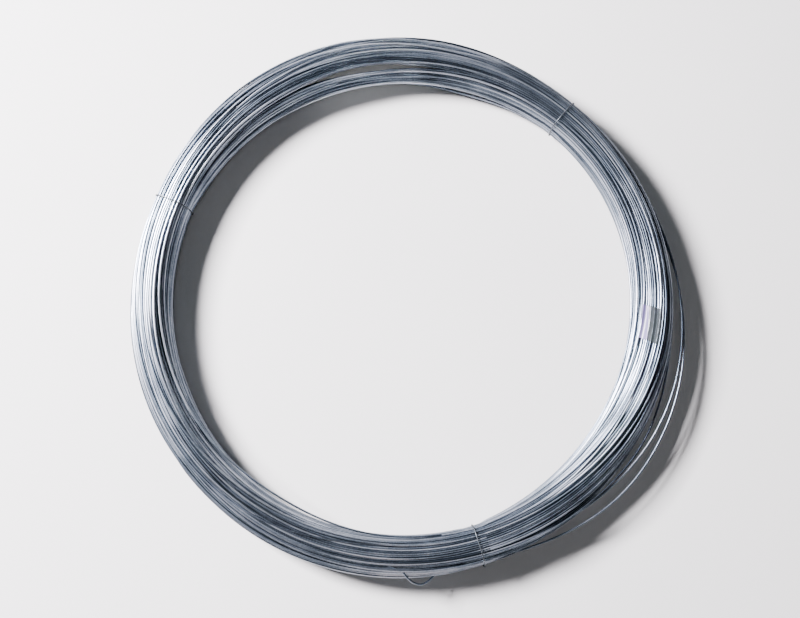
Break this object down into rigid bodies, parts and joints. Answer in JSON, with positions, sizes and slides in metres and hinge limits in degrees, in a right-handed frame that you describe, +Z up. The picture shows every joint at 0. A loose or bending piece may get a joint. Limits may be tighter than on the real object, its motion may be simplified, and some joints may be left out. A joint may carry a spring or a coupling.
{
  "type": "coil of galvanized wire",
  "caption": "Flat-lying coil of galvanized steel wire with a wide open eye, bound by thin wire ties, with a few turns sprung loose on the outside.",
  "frame": {"origin": "on the axis of the eye, in the plane that the lowest turns lie on", "axes": "+Z up along the axis of the eye, +X to the side where the loose turns spring out, +Y away from the viewer of the picture"},
  "size_m": [0.6129, 0.596, 0.049],
  "materials": {
    "galvanized_wire": "semi-bright zinc, drawn wire",
    "tie_wire": "dull annealed zinc",
    "tape": "satin film"
  },
  "bodies": {
    "root": {"wire_coil": "galvanized_wire", "tie_wire_right": "tie_wire", "tie_wire_left": "tie_wire", "tie_wire_front": "tie_wire", "label_tape": "tape"}
  },
  "joints": []
}
